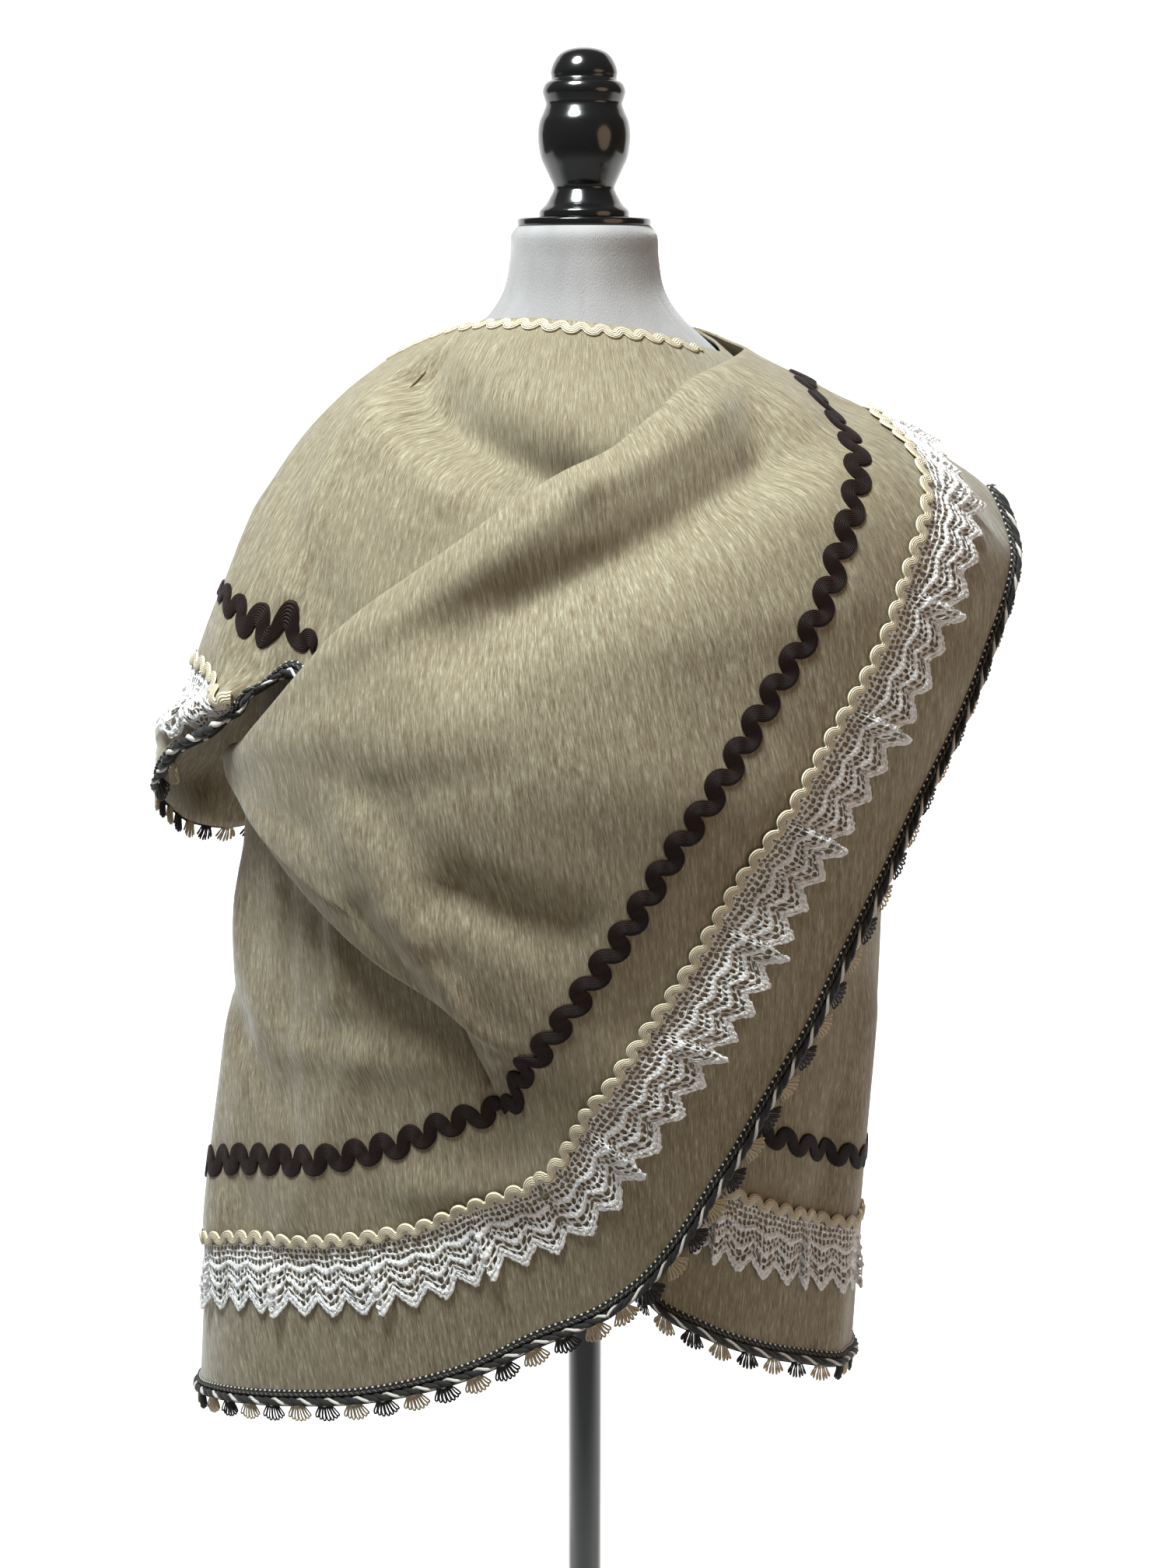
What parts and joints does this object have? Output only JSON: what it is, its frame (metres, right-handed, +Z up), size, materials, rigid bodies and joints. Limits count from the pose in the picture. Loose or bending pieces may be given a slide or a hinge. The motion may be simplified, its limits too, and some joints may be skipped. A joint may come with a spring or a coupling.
{
  "type": "flamenco shawl on a dress form",
  "caption": "Wide velvet shawl with rounded ends, edged with braid, lace and rickrack, wound round a limbless dress form with both ends over the shoulders.",
  "frame": {"origin": "middle of the base's underside, on the floor", "axes": "+Z up, the front of the form faces -Y, +X is the form's left side"},
  "size_m": [0.7134, 0.4501, 1.5673],
  "materials": {
    "cloth": "khaki pile with a soft sheen",
    "braid": "matte black and white cord",
    "lace": "matte white cotton",
    "cream": "matte cream braid",
    "brown": "ribbed dark braid",
    "form_cover": "short white pile",
    "gloss_black": "gloss"
  },
  "bodies": {
    "root": {"back_panel": "cloth", "left_end": "cloth", "right_end": "cloth", "back_braid": "braid", "back_lace": "lace", "back_cream": "cream", "back_brown": "brown", "lower_braid": "braid", "lower_lace": "lace", "lower_cream": "cream", "lower_brown": "brown", "sleeve_braid": "braid", "sleeve_lace": "lace", "sleeve_cream": "cream", "sleeve_brown": "brown", "right_braid": "braid", "right_lace": "lace", "right_cream": "cream", "right_brown": "brown", "back_neck_edge": "cream", "front_neck_edge": "cream", "form_body": "form_cover", "stand_base": "gloss_black", "stand_pole": "gloss_black", "neck_plate": "gloss_black", "finial": "gloss_black"}
  },
  "joints": []
}
